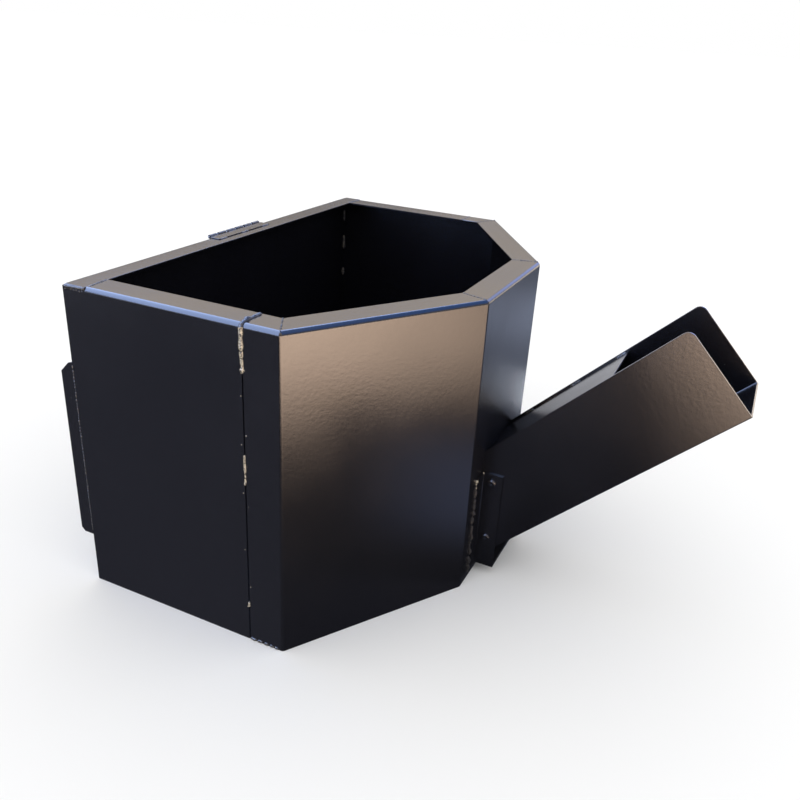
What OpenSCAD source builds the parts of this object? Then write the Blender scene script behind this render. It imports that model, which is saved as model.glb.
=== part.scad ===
// Folded sheet-steel hopper with a part-covered chute at 45 degrees.
// +X points from the back wall to the chute, +Y to the left side and +Z up.
// The origin is the centre of the tub's underside.

/* [Tub] */
// Length of the tub from its back wall to its front wall
tub_l = 316.6; // [290:0.2:360]
// Width of the tub over its side walls
tub_w = 478.8; // [440:0.2:540]
// Height of the tub to the top of its rim
tub_h = 300; // [280:1:360]
// Length of the straight side walls, before the tub narrows
side_l = 213; // [200:1:230]
// Width of the narrow front wall
front_w = 152.5; // [144:0.5:180]
// Width of the rim that is folded inwards round the top
rim_w = 27.7; // [24:0.1:36]
// Width of the back wall's rim
back_rim_w = 23; // [20:0.5:24]
// Distance of the welded side seams from the back wall
seam_l = 178.3; // [160:0.1:190]

/* [Sheet] */
// Thickness of every sheet
sheet_t = 2; // [1.5:0.1:2.5]
// Outer radius of every fold in the tub
fold_r = 4; // [3:0.5:5]
// Width of the gap between the two halves of a side
seam_gap = 1; // [0.5:0.1:1.5]

/* [Chute] */
// Slope of the chute above the horizontal, in degrees
chute_angle = 44.5; // [40:0.5:50]
// Length of the chute along its underside
chute_l = 312.6; // [280:0.2:340]
// Height of the chute square to its slope
chute_h = 89; // [82:0.2:95]
// Width of the chute over its walls
chute_w = 83; // [76:0.2:90]
// Height at which the chute's underside meets the front wall
chute_z = 13; // [13:0.25:20]
// Distance along the slope at which the cover plate ends
cover_l = 233; // [200:1:260]
// Depth of the cover plate below the walls' top edges
cover_drop = 2; // [1:0.5:4]
// Radius of the rounded corners at the chute's mouth
mouth_r = 7; // [5:0.5:14]
// Distance that the mouth's top leans out beyond its bottom
mouth_lean = 1.2; // [0:0.2:3]
// Gap between the front wall's port and the chute's inner faces
port_margin = 2; // [1:0.5:4]

/* [Brackets] */
// Height of the chute brackets
bracket_h = 106; // [95:1:115]
// Height of the brackets' lower ends above the base
bracket_z = 10.5; // [6:0.5:10.5]
// Width of the leg that is bolted to the chute
bracket_leg = 21.8; // [20:0.2:28]
// Width of the foot that is welded to the front wall
bracket_foot = 15.5; // [14:0.5:20]
// Height of the lower bolt in each bracket
bolt_low_z = 44; // [38:1:50]
// Height of the upper bolt in each bracket
bolt_high_z = 107; // [95:1:109]

/* [Rear ears] */
// Distance that each ear stands out behind the back wall
ear_l = 14.4; // [11:0.2:22]
// Height of the ears' lower edge
ear_low_z = 51.5; // [40:0.5:80]
// Height of the ears' upper edge
ear_high_z = 229; // [200:1:250]
// Size of the large chamfer at the top of each ear
ear_chamfer = 9; // [6:0.5:10]

/* [Hinge] */
// Length of the hinge along the back rim
hinge_l = 90; // [80:1:120]
// Thickness of the hinge's leaves
leaf_t = 1; // [0.8:0.1:1.1]
// Width of the fixed leaf in front of the back wall's outer face
fixed_leaf_w = 12.6; // [10:0.2:20]
// Distance from the pin to the free edge of the loose leaf
loose_leaf_w = 24; // [20:1:30]
// Radius of the hinge pin
pin_r = 1; // [0.8:0.05:1.05]

/* [Hidden] */

paint = "#1d1e23";
bead_paint = "#2c2b2c";
zinc = "#8c8f94";

x_back = -tub_l/2;
x_front = tub_l/2;
x_seam = x_back + seam_l;
y_side = tub_w/2;
far = 1000;
arc_steps = 6;
layer_t = 0.01;

// Corner points of the tub's plan, anticlockwise from the rear right corner.
plan = [[x_back, -y_side], [x_back + side_l, -y_side], [x_front, -front_w/2],
        [x_front, front_w/2], [x_back + side_l, y_side], [x_back, y_side]];
corners = len(plan);
folded = [false, true, true, true, true, false];

function heading(i) = plan[(i + 1)%corners] - plan[i%corners];
function edge_l(i) = norm(heading(i));
function edge_angle(i) = atan2(heading(i)[1], heading(i)[0]);
function inward(i) = [-heading(i)[1], heading(i)[0]]/edge_l(i);
function before(i) = (i + corners - 1)%corners;

// Corner i of the plan, moved inwards so that it lies d inside both of its walls.
function inset(i, d) = plan[i] + d*(inward(before(i)) + inward(i))/(1 + inward(before(i))*inward(i));

function arc(centre, r, from, to) =
    [for (k = [0:arc_steps]) centre + r*[cos(from + (to - from)*k/arc_steps),
                                         sin(from + (to - from)*k/arc_steps)]];

// Angle that the fold at corner i turns through.
function turn(i) = (edge_angle(i) - edge_angle(before(i)) + 360)%360;

// Corner i of an outline d inside the walls' outer faces, rounded if the sheet folds there.
function corner_points(i, d) =
    folded[i] ? arc(inset(i, fold_r), fold_r - d, edge_angle(before(i)) - 90,
                    edge_angle(before(i)) - 90 + turn(i))
              : [inset(i, d)];

function outline(d) = [for (i = [0:corners - 1]) each corner_points(i, d)];

// ---- Tub ----

// Section of a wall and its rim, which folds inwards from the outer face at 0 to rim_w.
wall_section = concat(
    [[0, 0]],
    arc([fold_r, tub_h - fold_r], fold_r, 180, 90),
    [[rim_w, tub_h], [rim_w, tub_h - sheet_t]],
    arc([fold_r, tub_h - fold_r], fold_r - sheet_t, 90, 180),
    [[sheet_t, 0]]);

// Puts a section, drawn inwards and upwards, along wall i.
module along_wall(i) {
    translate(plan[i])
        rotate([0, 0, edge_angle(i)])
            translate([edge_l(i), 0, 0])
                rotate([90, 0, -90])
                    linear_extrude(edge_l(i))
                        mirror([1, 0, 0])
                            children();
}

// A block that fills the tub to d inside its walls' outer faces, folds included.
module folded_block(d, low_z) {
    hull() {
        translate([0, 0, low_z])
            linear_extrude(tub_h - fold_r - low_z)
                polygon(outline(d));
        for (p = arc([fold_r, tub_h - fold_r], fold_r - d, 180, 90))
            translate([0, 0, p[1] - layer_t])
                linear_extrude(layer_t)
                    polygon(outline(min(p[0], fold_r - layer_t)));
    }
}

// Everything between two planes across the tub.
module slice(from, to) {
    translate([from, -far/2, -far/2])
        cube([to - from, far, far]);
}

// The rims of the back and the sides meet on a line that runs from the opening's corner
// to this distance from the back wall.
joint_l = 24;

// The part of the rim in front of that line, on the right side.
module side_rim_region() {
    linear_extrude(far)
        polygon([[x_back + joint_l, -y_side], [x_seam, -y_side],
                 [x_seam, -y_side + rim_w], [x_back + back_rim_w, -y_side + rim_w]]);
}

module side_panel() {
    translate([x_back, -y_side, 0])
        cube([seam_l - seam_gap/2, sheet_t, tub_h - fold_r]);
    translate([x_back, -y_side, 0])
        cube([joint_l, sheet_t, tub_h - sheet_t]);
    intersection() {
        along_wall(0) polygon(wall_section);
        side_rim_region();
        slice(x_back, x_seam - seam_gap/2);
    }
}

module side_panel_right() {
    color(paint) side_panel();
}

module side_panel_left() {
    color(paint) mirror([0, 1, 0]) side_panel();
}

module back_panel() {
    inner_w = tub_w - 2*sheet_t;
    color(paint) {
        translate([x_back, -inner_w/2, 0])
            cube([sheet_t, inner_w, tub_h - fold_r]);
        intersection() {
            along_wall(5) polygon(wall_section);
            translate([x_back, -inner_w/2, 0])
                cube([back_rim_w, inner_w, tub_h]);
            linear_extrude(far) back_rim_outline();
        }
        translate([0, 0, tub_h - sheet_t])
            linear_extrude(sheet_t)
                intersection() {
                    back_rim_outline();
                    translate([x_back + fold_r, -y_side])
                        square([back_rim_w, tub_w]);
                }
    }
}

module back_rim_outline() {
    polygon([[x_back, -y_side], [x_back + joint_l, -y_side],
             [x_back + back_rim_w, -y_side + rim_w],
             [x_back + back_rim_w, y_side - rim_w],
             [x_back + joint_l, y_side], [x_back, y_side]]);
}

port_w = chute_w - 2*sheet_t - 2*port_margin;

// Height at which a line at a given distance above the chute's underside meets the front wall.
function wall_z(above) = chute_z + above/cos(chute_angle);

port_low_z = wall_z(sheet_t) + port_margin;
port_high_z = wall_z(chute_h - cover_drop - sheet_t) - port_margin;

module front_shell() {
    color(paint) difference() {
        intersection() {
            folded_block(0, 0);
            slice(x_seam + seam_gap/2, far/2);
        }
        folded_block(sheet_t, -sheet_t);
        linear_extrude(far) polygon([for (i = [0:corners - 1]) inset(i, rim_w)]);
        translate([x_front - 2*sheet_t, -port_w/2, port_low_z])
            cube([3*sheet_t, port_w, port_high_z - port_low_z]);
    }
}

module floor_plate() {
    color(paint) linear_extrude(sheet_t) polygon(outline(sheet_t));
}

// ---- Weld beads, which lie on the sheets and don't go into them ----

module half_disc(r) {
    intersection() {
        circle(r, $fn = 24);
        translate([0, -r]) square([r, 2*r]);
    }
}

module quarter_disc(r) {
    intersection() {
        circle(r, $fn = 24);
        square(r);
    }
}

// A bead on top of the rim from one plan point to another.
module rim_bead(from, to, r) {
    way = to - from;
    translate([from[0], from[1], tub_h])
        rotate([0, 0, atan2(way[1], way[0])])
            rotate([0, -90, 0])
                mirror([0, 0, 1])
                    linear_extrude(norm(way))
                        half_disc(r);
}

// An upright bead on a face whose outward direction is face_angle.
module upright_bead(at, face_angle, z_low, z_high, r) {
    translate([at[0], at[1], z_low])
        rotate([0, 0, face_angle])
            linear_extrude(z_high - z_low)
                half_disc(r);
}

seam_bead_r = 2.2;
seam_fine_r = 1.2;
// Stretches of the seam that hold a bead, as heights below the rim's top.
seam_thick_l = 41;
seam_fine_top = 112;
seam_fine_bottom = 140;
seam_tack_depth = 260;
seam_tack_l = 4;
seam_foot_z = 3;

// A bead over the rim and round its fold, down to the top of the upright seam.
module seam_top_weld(r) {
    at = [x_seam, -y_side];
    rim_bead(at + [0, fold_r], at + [0, rim_w - 1], r);
    translate([at[0], at[1] + fold_r, tub_h - fold_r])
        rotate([0, -90, 0])
            rotate([0, 0, -90])
                rotate_extrude(angle = 90)
                    translate([fold_r, 0])
                        half_disc(r);
    upright_bead(at, -90, tub_h - seam_thick_l, tub_h - fold_r, r);
}

module seam_weld_right() {
    at = [x_seam, -y_side];
    color(bead_paint) {
        seam_top_weld(seam_bead_r);
        upright_bead(at, -90, tub_h - seam_fine_bottom, tub_h - seam_fine_top, seam_fine_r);
        upright_bead(at, -90, tub_h - seam_tack_depth - seam_tack_l, tub_h - seam_tack_depth,
                     seam_fine_r);
    }
}

// The left seam is closed down to the bead along the tub's bottom edge.
module seam_weld_left() {
    at = [x_seam, -y_side];
    color(bead_paint)
        mirror([0, 1, 0]) {
            seam_top_weld(seam_fine_r);
            upright_bead(at, -90, seam_foot_z, tub_h - seam_thick_l, seam_fine_r);
        }
}

mitre_bead_r = 0.8;
joint_bead_r = 1.2;

module rim_corner_welds() {
    color(bead_paint) {
        for (i = [1:4])
            rim_bead(inset(i, rim_w - 1), inset(i, fold_r), mitre_bead_r);
        for (side = [0, 1])
            mirror([0, side, 0]) {
                rim_bead([x_back + back_rim_w, -y_side + rim_w] - [0.3, 1],
                         [x_back + joint_l, -y_side] + [1.3, fold_r], joint_bead_r);
                translate([x_back + 1, -y_side, tub_h - sheet_t])
                    rotate([0, 90, 0])
                        rotate([0, 0, -90])
                            linear_extrude(joint_l - 1)
                                half_disc(joint_bead_r);
            }
    }
}

// Heights and lengths of the tacks inside the rear corners, from the top down.
tack_tops = [284, 250, 206, 140, 70];
tack_ls = [14, 18, 10, 16, 16];
tack_r = 2.5;

module back_corner_welds() {
    color(bead_paint)
        for (side = [0, 1], k = [0:len(tack_tops) - 1])
            mirror([0, side, 0])
                translate([x_back + sheet_t, -y_side + sheet_t, tack_tops[k] - tack_ls[k]])
                    linear_extrude(tack_ls[k])
                        quarter_disc(tack_r);
}

floor_bead_r = 3;
floor_stitch_l = 30;
stitch_gap = 0.02;
edge_bead_r = 1.2;

// One stitch in the inside angle between the floor and wall i, at a share of its length.
module floor_stitch(i, share) {
    translate(plan[i])
        rotate([0, 0, edge_angle(i)])
            translate([edge_l(i)*share + floor_stitch_l/2, sheet_t + stitch_gap, sheet_t])
                rotate([90, 0, -90])
                    mirror([1, 0, 0])
                        linear_extrude(floor_stitch_l)
                            quarter_disc(floor_bead_r);
}

module floor_welds() {
    color(bead_paint) {
        for (i = [0, 1, 3, 4, 5], share = [0.25, 0.75])
            floor_stitch(i, share);
        floor_stitch(2, 0.5);
        for (side = [0, 1])
            mirror([0, side, 0])
                translate([x_seam + 1, -y_side, edge_bead_r + 0.2])
                    rotate([0, 90, 0])
                        rotate([0, 0, -90])
                            linear_extrude(side_l - seam_l - 1.5*fold_r)
                                half_disc(edge_bead_r);
    }
}

// ---- Rear ears ----

ear_step = 5.5;
ear_foot_chamfer = 4;

module ear() {
    translate([x_back, -y_side + sheet_t, 0])
        rotate([90, 0, 0])
            linear_extrude(sheet_t)
                polygon([[0, ear_low_z], [0, ear_high_z], [-ear_step, ear_high_z - 2],
                         [-ear_l, ear_high_z - 2 - ear_chamfer],
                         [-ear_l, ear_low_z + ear_foot_chamfer],
                         [-ear_l + ear_foot_chamfer, ear_low_z]]);
}

module ear_right() {
    color(paint) ear();
}

module ear_left() {
    color(paint) mirror([0, 1, 0]) ear();
}

ear_bead_r = 0.9;
ear_bead_margin = 3;

module ear_welds() {
    color(bead_paint)
        for (side = [0, 1])
            mirror([0, side, 0])
                upright_bead([x_back, -y_side], -90, ear_low_z + ear_bead_margin,
                             ear_high_z - ear_bead_margin, ear_bead_r);
}

// ---- Chute ----

inner_chute_w = chute_w - 2*sheet_t;
side_gap = 0.2;

// The chute's own frame: +X up the slope and +Z square to its underside.
module on_chute() {
    translate([x_front, 0, chute_z])
        rotate([0, -chute_angle, 0])
            children();
}

// Cuts the chute off upright where it meets the front wall.
module cut_at_wall() {
    difference() {
        children();
        translate([x_front - far, -far/2, -far/2])
            cube([far, far, far]);
    }
}

// The trough's folds are nearly sharp, so both of their faces have this small radius.
trough_r = 1.2;

trough_section = concat(
    [[-chute_w/2, chute_h]],
    arc([-chute_w/2 + trough_r, trough_r], trough_r, 180, 270),
    arc([chute_w/2 - trough_r, trough_r], trough_r, -90, 0),
    [[chute_w/2, chute_h], [inner_chute_w/2, chute_h]],
    arc([inner_chute_w/2 - trough_r, sheet_t + trough_r], trough_r, 0, -90),
    arc([-inner_chute_w/2 + trough_r, sheet_t + trough_r], trough_r, 270, 180),
    [[-inner_chute_w/2, chute_h]]);

module chute_side_view() {
    polygon(concat([[0, 0], [chute_l, 0]],
                   arc([chute_l + mouth_lean - mouth_r, chute_h - mouth_r], mouth_r, 0, 90),
                   [[0, chute_h]]));
}

bolt_r = 2.5;
bolt_hole_r = 2.75;
bolt_inset = 11;
bolt_zs = [bolt_low_z, bolt_high_z];

// The four bolt holes through the brackets and the chute's walls.
module bolt_holes() {
    for (z = bolt_zs)
        translate([x_front + bolt_inset, -chute_w, z])
            rotate([-90, 0, 0])
                cylinder(h = 2*chute_w, r = bolt_hole_r, $fn = 32);
}

module chute_trough() {
    color(paint) difference() {
        cut_at_wall()
            on_chute()
                intersection() {
                    rotate([90, 0, 90])
                        linear_extrude(chute_l + mouth_lean)
                            polygon(trough_section);
                    translate([0, chute_w, 0])
                        rotate([90, 0, 0])
                            linear_extrude(2*chute_w)
                                chute_side_view();
                }
        bolt_holes();
    }
}

cover_top = chute_h - cover_drop;

module chute_cover() {
    color(paint)
        cut_at_wall()
            on_chute()
                translate([0, -inner_chute_w/2 + side_gap, cover_top - sheet_t])
                    cube([cover_l, inner_chute_w - 2*side_gap, sheet_t]);
}

cover_bead_r = 1.8;
cover_bead_l = 12;
cover_bead_starts = [105, 165, cover_l - cover_bead_l - 2];

module cover_welds() {
    color(bead_paint)
        for (side = [0, 1], start = cover_bead_starts)
            mirror([0, side, 0])
                on_chute()
                    translate([start, -inner_chute_w/2, cover_top])
                        rotate([90, 0, 90])
                            linear_extrude(cover_bead_l)
                                quarter_disc(cover_bead_r);
}

// ---- Brackets and their bolts ----

bracket_r = 3;
bracket_y = chute_w/2;

// Plan of the right bracket: its foot is on the front wall, and its leg is on the chute.
function bracket_plan() = concat(
    [[x_front + bracket_leg, -bracket_y]],
    [[x_front + bracket_leg, -bracket_y - sheet_t]],
    arc([x_front + bracket_r, -bracket_y - bracket_r], bracket_r - sheet_t, 90, 180),
    [[x_front + sheet_t, -bracket_y - bracket_foot], [x_front, -bracket_y - bracket_foot]],
    arc([x_front + bracket_r, -bracket_y - bracket_r], bracket_r, 180, 90));

module bracket() {
    difference() {
        translate([0, 0, bracket_z])
            linear_extrude(bracket_h)
                polygon(bracket_plan());
        bolt_holes();
    }
}

module chute_bracket_right() {
    color(paint) bracket();
}

module chute_bracket_left() {
    color(paint) mirror([0, 1, 0]) bracket();
}

// The plate that joins the brackets' lower ends, just under the chute.
module chute_bracket_plate() {
    color(paint)
        translate([x_front, -bracket_y, bracket_z])
            cube([bracket_leg, 2*bracket_y, sheet_t]);
}

bracket_bead_r = 2.8;
bracket_bead_low_z = 3;
bracket_bead_high_z = 115;

module bracket_welds() {
    color(bead_paint)
        for (side = [0, 1])
            mirror([0, side, 0])
                translate([x_front, -bracket_y - bracket_foot, bracket_bead_low_z])
                    rotate([0, 0, -90])
                        linear_extrude(bracket_bead_high_z - bracket_bead_low_z)
                            quarter_disc(bracket_bead_r);
}

bolt_head_r = 4.75;
bolt_head_h = 2.75;
socket_r = 1.75;
washer_t = 1;
washer_r = 5;
nut_across_corners = 9.2;
nut_h = 4;
bolt_tip = 1.5;
bolt_l = 2*sheet_t + washer_t + nut_h + bolt_tip;
dome_r = (bolt_head_r*bolt_head_r + bolt_head_h*bolt_head_h)/(2*bolt_head_h);

// Puts a fastener, drawn along +Z from the bracket's face inwards, at all four bolt places.
module at_bolts(depth) {
    for (side = [0, 1], z = bolt_zs)
        mirror([0, side, 0])
            translate([x_front + bolt_inset, -bracket_y - sheet_t + depth, z])
                rotate([-90, 0, 0])
                    children();
}

module button_bolt() {
    difference() {
        union() {
            intersection() {
                translate([0, 0, dome_r - bolt_head_h])
                    sphere(dome_r, $fn = 64);
                translate([0, 0, -bolt_head_h])
                    cylinder(h = bolt_head_h, r = bolt_head_r + 1, $fn = 64);
            }
            cylinder(h = bolt_l, r = bolt_r, $fn = 32);
        }
        translate([0, 0, -bolt_head_h - 1])
            cylinder(h = 2.6, r = socket_r, $fn = 6);
    }
}

module chute_bolts() {
    color(paint) at_bolts(0) button_bolt();
}

module chute_washers() {
    color(zinc)
        at_bolts(2*sheet_t)
            difference() {
                cylinder(h = washer_t, r = washer_r, $fn = 48);
                translate([0, 0, -1])
                    cylinder(h = washer_t + 2, r = bolt_hole_r, $fn = 48);
            }
}

module chute_nuts() {
    color(zinc)
        at_bolts(2*sheet_t + washer_t)
            difference() {
                cylinder(h = nut_h, r = nut_across_corners/2, $fn = 6);
                translate([0, 0, -1])
                    cylinder(h = nut_h + 2, r = bolt_r + 0.05, $fn = 32);
            }
}

// ---- Hinge on the back rim ----

knuckles = 6;
knuckle_pitch = hinge_l/knuckles;
knuckle_gap = 3.4;
pin_fit = 0.06;
bore_r = pin_r + pin_fit;
barrel_r = bore_r + leaf_t;
leaf_clearance = 0.4;
// Height of the knuckles above the fixed leaf's face.
knuckle_rise = 1.6;
leaf_face = barrel_r - knuckle_rise;
pin_back = 1.1;
pin_x = x_back - pin_back;
pin_z = tub_h + leaf_t - leaf_face;

// Solids along the pin, from a section with +X along the leaf and +Y out of its face.
module along_pin(from, to) {
    translate([0, to, 0])
        rotate([90, 0, 0])
            linear_extrude(to - from)
                children();
}

// A leaf that runs towards +X from the pin, whose knuckles are the first, third and fifth
// (first = 0) or the second, fourth and sixth (first = 1).
module hinge_leaf(first, reach) {
    difference() {
        union() {
            for (k = [first:2:knuckles - 1])
                along_pin(-hinge_l/2 + k*knuckle_pitch + knuckle_gap/2,
                          -hinge_l/2 + (k + 1)*knuckle_pitch - knuckle_gap/2)
                    union() {
                        circle(barrel_r, $fn = 48);
                        translate([0, leaf_face - leaf_t])
                            square([barrel_r + leaf_clearance + 1, leaf_t]);
                    }
            along_pin(-hinge_l/2, hinge_l/2)
                translate([barrel_r + leaf_clearance, leaf_face - leaf_t])
                    square([reach - barrel_r - leaf_clearance, leaf_t]);
        }
        along_pin(-hinge_l/2 - 1, hinge_l/2 + 1)
            circle(bore_r, $fn = 48);
    }
}

module hinge_fixed_leaf() {
    color(paint)
        translate([pin_x, 0, pin_z])
            hinge_leaf(0, x_back + fixed_leaf_w - pin_x);
}

leaf_hole_r = 2.25;
leaf_hole_spacing = 62;
leaf_hole_reach = 15;

module hinge_loose_leaf() {
    color(paint)
        translate([pin_x, 0, pin_z])
            rotate([0, 90, 0])
                mirror([0, 0, 1])
                    difference() {
                        hinge_leaf(1, loose_leaf_w);
                        for (y = [-1, 1]*leaf_hole_spacing/2)
                            translate([leaf_hole_reach, y, -barrel_r])
                                cylinder(h = 2*barrel_r, r = leaf_hole_r, $fn = 32);
                    }
}

module hinge_pin() {
    color(zinc)
        translate([pin_x, 0, pin_z])
            along_pin(-hinge_l/2 + 0.5, hinge_l/2 - 0.5)
                circle(pin_r, $fn = 48);
}

hinge_bead_r = 1;
hinge_bead_l = 12;

module hinge_welds() {
    color(bead_paint)
        for (y = [-1, 0, 1]*(hinge_l/2 - hinge_bead_l/2 - 2))
            translate([x_back + fixed_leaf_w, y + hinge_bead_l/2, tub_h])
                rotate([90, 0, 0])
                    linear_extrude(hinge_bead_l)
                        quarter_disc(hinge_bead_r);
}

back_panel();
side_panel_right();
side_panel_left();
front_shell();
floor_plate();
seam_weld_right();
seam_weld_left();
rim_corner_welds();
back_corner_welds();
floor_welds();
ear_right();
ear_left();
ear_welds();
chute_trough();
chute_cover();
cover_welds();
chute_bracket_right();
chute_bracket_left();
chute_bracket_plate();
bracket_welds();
chute_bolts();
chute_washers();
chute_nuts();
hinge_fixed_leaf();
hinge_loose_leaf();
hinge_pin();
hinge_welds();
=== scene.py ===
import math

import bmesh
import bpy
import numpy as np
from mathutils import Matrix, Vector


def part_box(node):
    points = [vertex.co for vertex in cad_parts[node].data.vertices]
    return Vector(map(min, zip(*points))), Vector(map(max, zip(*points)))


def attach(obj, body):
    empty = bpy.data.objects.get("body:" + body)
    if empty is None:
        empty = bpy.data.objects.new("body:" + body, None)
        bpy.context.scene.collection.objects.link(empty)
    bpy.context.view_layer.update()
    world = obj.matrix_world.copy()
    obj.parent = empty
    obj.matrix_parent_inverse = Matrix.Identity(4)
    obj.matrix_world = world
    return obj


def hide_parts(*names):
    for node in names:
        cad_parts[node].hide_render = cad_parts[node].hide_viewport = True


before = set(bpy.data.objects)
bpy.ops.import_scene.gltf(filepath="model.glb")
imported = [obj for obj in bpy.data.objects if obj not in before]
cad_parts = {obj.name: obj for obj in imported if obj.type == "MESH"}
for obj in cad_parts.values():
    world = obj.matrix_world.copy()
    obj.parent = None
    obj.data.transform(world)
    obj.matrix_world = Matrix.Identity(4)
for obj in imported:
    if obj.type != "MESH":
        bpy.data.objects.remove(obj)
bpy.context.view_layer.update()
scene = bpy.context.scene


# ---------------------------------------------------------------- materials
class Tree:
    """Short helpers for building a node tree."""

    def __init__(self, tree):
        self.tree = tree

    def node(self, kind, **values):
        n = self.tree.nodes.new(kind)
        for key, value in values.items():
            n.inputs[key].default_value = value
        return n

    def link(self, a, b):
        self.tree.links.new(a, b)

    def ramp(self, value, lo, hi, out_lo, out_hi):
        n = self.node("ShaderNodeMapRange")
        n.interpolation_type = "SMOOTHSTEP"
        limits = {"From Min": lo, "From Max": hi, "To Min": out_lo, "To Max": out_hi}
        for key, v in limits.items():
            n.inputs[key].default_value = v
        self.link(value, n.inputs["Value"])
        return n.outputs["Result"]

    def mix(self, fac, a, b):
        n = self.node("ShaderNodeMix")
        n.data_type = "RGBA"
        for sock, v in ((n.inputs[6], a), (n.inputs[7], b)):
            if isinstance(v, tuple):
                sock.default_value = (*v, 1)
            else:
                self.link(v, sock)
        self.link(fac, n.inputs[0])
        return n.outputs[2]

    def math(self, op, a, b):
        n = self.node("ShaderNodeMath")
        n.operation = op
        for sock, v in ((n.inputs[0], a), (n.inputs[1], b)):
            if isinstance(v, (int, float)):
                sock.default_value = v
            else:
                self.link(v, sock)
        return n.outputs[0]

    def product(self, first, *rest):
        for other in rest:
            first = self.math("MULTIPLY", first, other)
        return first

    def axes(self, vector):
        n = self.node("ShaderNodeSeparateXYZ")
        self.link(vector, n.inputs[0])
        return n.outputs[0], n.outputs[1], n.outputs[2]


class Nodes(Tree):
    """A new material, with its textures placed by the object's own coordinates."""

    def __init__(self, name):
        self.mat = bpy.data.materials.new(name)
        self.mat.use_nodes = True
        super().__init__(self.mat.node_tree)
        self.bsdf = self.tree.nodes["Principled BSDF"]
        self.coord = self.tree.nodes.new("ShaderNodeTexCoord").outputs["Object"]

    def noise(self, scale, detail=2.0, rough=0.5):
        n = self.node("ShaderNodeTexNoise", Scale=scale, Detail=detail, Roughness=rough)
        self.link(self.coord, n.inputs["Vector"])
        return n.outputs["Fac"]

    def specks(self, scale, radius, share):
        """Small scattered dots: a share of the cells of a Voronoi texture hold one."""
        n = self.node("ShaderNodeTexVoronoi", Scale=scale)
        self.link(self.coord, n.inputs["Vector"])
        cell = self.axes(n.outputs["Color"])[0]
        dot = self.ramp(n.outputs["Distance"], radius * 0.6, radius, 1, 0)
        return self.product(dot, self.ramp(cell, 1 - share, 1 - share + 0.01, 0, 1))

    def bump(self, height, distance, normal=None):
        n = self.node("ShaderNodeBump", Strength=1.0, Distance=distance)
        self.link(height, n.inputs["Height"])
        if normal is not None:
            self.link(normal, n.inputs["Normal"])
        return n.outputs["Normal"]


PAINT_IOR = 1.6


def paint_material():
    """Semi-gloss black powder coat: fine orange peel, slight mottling and a little dust."""
    m = Nodes("powder_coat")
    m.bsdf.inputs["IOR"].default_value = PAINT_IOR
    broad = m.noise(9, 3, 0.55)
    mottle = m.noise(700, 2, 0.6)
    waves = m.noise(300, 1, 0.5)
    peel = m.noise(900, 1, 0.5)
    grain = m.noise(2600, 1, 0.5)
    black, lighter_black = (0.0030, 0.0031, 0.0050), (0.0052, 0.0053, 0.0078)
    colour = m.mix(m.ramp(mottle, 0.35, 0.7, 0, 1), black, lighter_black)
    dust = m.specks(140, 0.055, 0.06)
    m.link(m.mix(dust, colour, (0.10, 0.10, 0.105)), m.bsdf.inputs["Base Color"])
    broad_rough = m.ramp(broad, 0.3, 0.7, 0.20, 0.25)
    fine_rough = m.ramp(mottle, 0.3, 0.7, -0.015, 0.02)
    m.link(m.math("ADD", broad_rough, fine_rough), m.bsdf.inputs["Roughness"])
    n1 = m.bump(waves, 0.00005)
    n2 = m.bump(peel, 0.00003, normal=n1)
    n3 = m.bump(grain, 0.000008, normal=n2)
    m.link(n3, m.bsdf.inputs["Normal"])
    return m.mat


def weld_material(name, glint_level, no_glints_above=None, rough=(0.18, 0.42), grain=1700, ior=PAINT_IOR):
    """A rough bead under thin paint, with cream specks where the noise passes a level: painted glints,
    highlights painted into the colour.

    Above the given height there are no painted glints.
    """
    m = Nodes(name)
    m.bsdf.inputs["IOR"].default_value = ior
    lumps = m.noise(900, 3, 0.65)
    specks = m.noise(grain, 2, 0.7)
    # The mask marks the painted glints: cream specks that stand in for highlights.
    mask = m.ramp(specks, glint_level, glint_level + 0.08, 0, 1)
    if no_glints_above is not None:
        height = m.axes(m.coord)[2]
        below = m.ramp(height, no_glints_above - 0.001, no_glints_above + 0.0005, 1, 0)
        mask = m.product(mask, below)
    painted = m.mix(lumps, (0.008, 0.008, 0.011), (0.03, 0.027, 0.026))
    # Cream where the mask is set: a painted highlight in the base colour.
    m.link(m.mix(mask, painted, (0.56, 0.48, 0.36)), m.bsdf.inputs["Base Color"])
    m.link(m.ramp(lumps, 0.3, 0.7, *rough), m.bsdf.inputs["Roughness"])
    n1 = m.bump(lumps, 0.00025)
    m.link(m.bump(specks, 0.00008, normal=n1), m.bsdf.inputs["Normal"])
    return m.mat


def plate_material(name, colour, scale):
    """Zinc or drawn steel: metal with fine streaks and slight tarnish."""
    m = Nodes(name)
    m.bsdf.inputs["Metallic"].default_value = 1.0
    tarnish = m.noise(scale, 3, 0.6)
    fine = m.noise(scale * 9, 2, 0.5)
    darker = tuple(c * 0.6 for c in colour)
    m.link(m.mix(m.ramp(tarnish, 0.35, 0.65, 0, 1), colour, darker), m.bsdf.inputs["Base Color"])
    m.link(m.ramp(fine, 0.3, 0.7, 0.24, 0.42), m.bsdf.inputs["Roughness"])
    m.link(m.bump(fine, 0.00003), m.bsdf.inputs["Normal"])
    return m.mat


PAINT = paint_material()
# In each weld material, the cream specks are painted glints.
WELD = weld_material("coated_weld", 0.60)
# Cream specks on the seam's side below the rim: painted reflection of warm light. Over the rim it is
# plain paint.
SEAM_WELD = weld_material("seam_weld", 0.45, 0.2975, grain=800)
DULL_WELD = weld_material("dull_weld", 0.66, rough=(0.42, 0.62), ior=1.42)
# Mostly cream: painted glints, used for the lumps on the brackets.
GLINT_WELD = weld_material("painted_glint_weld", 0.40)
ZINC = plate_material("zinc_hardware", (0.55, 0.57, 0.60), 300)
STEEL = plate_material("pin_steel", (0.50, 0.51, 0.53), 500)

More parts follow.
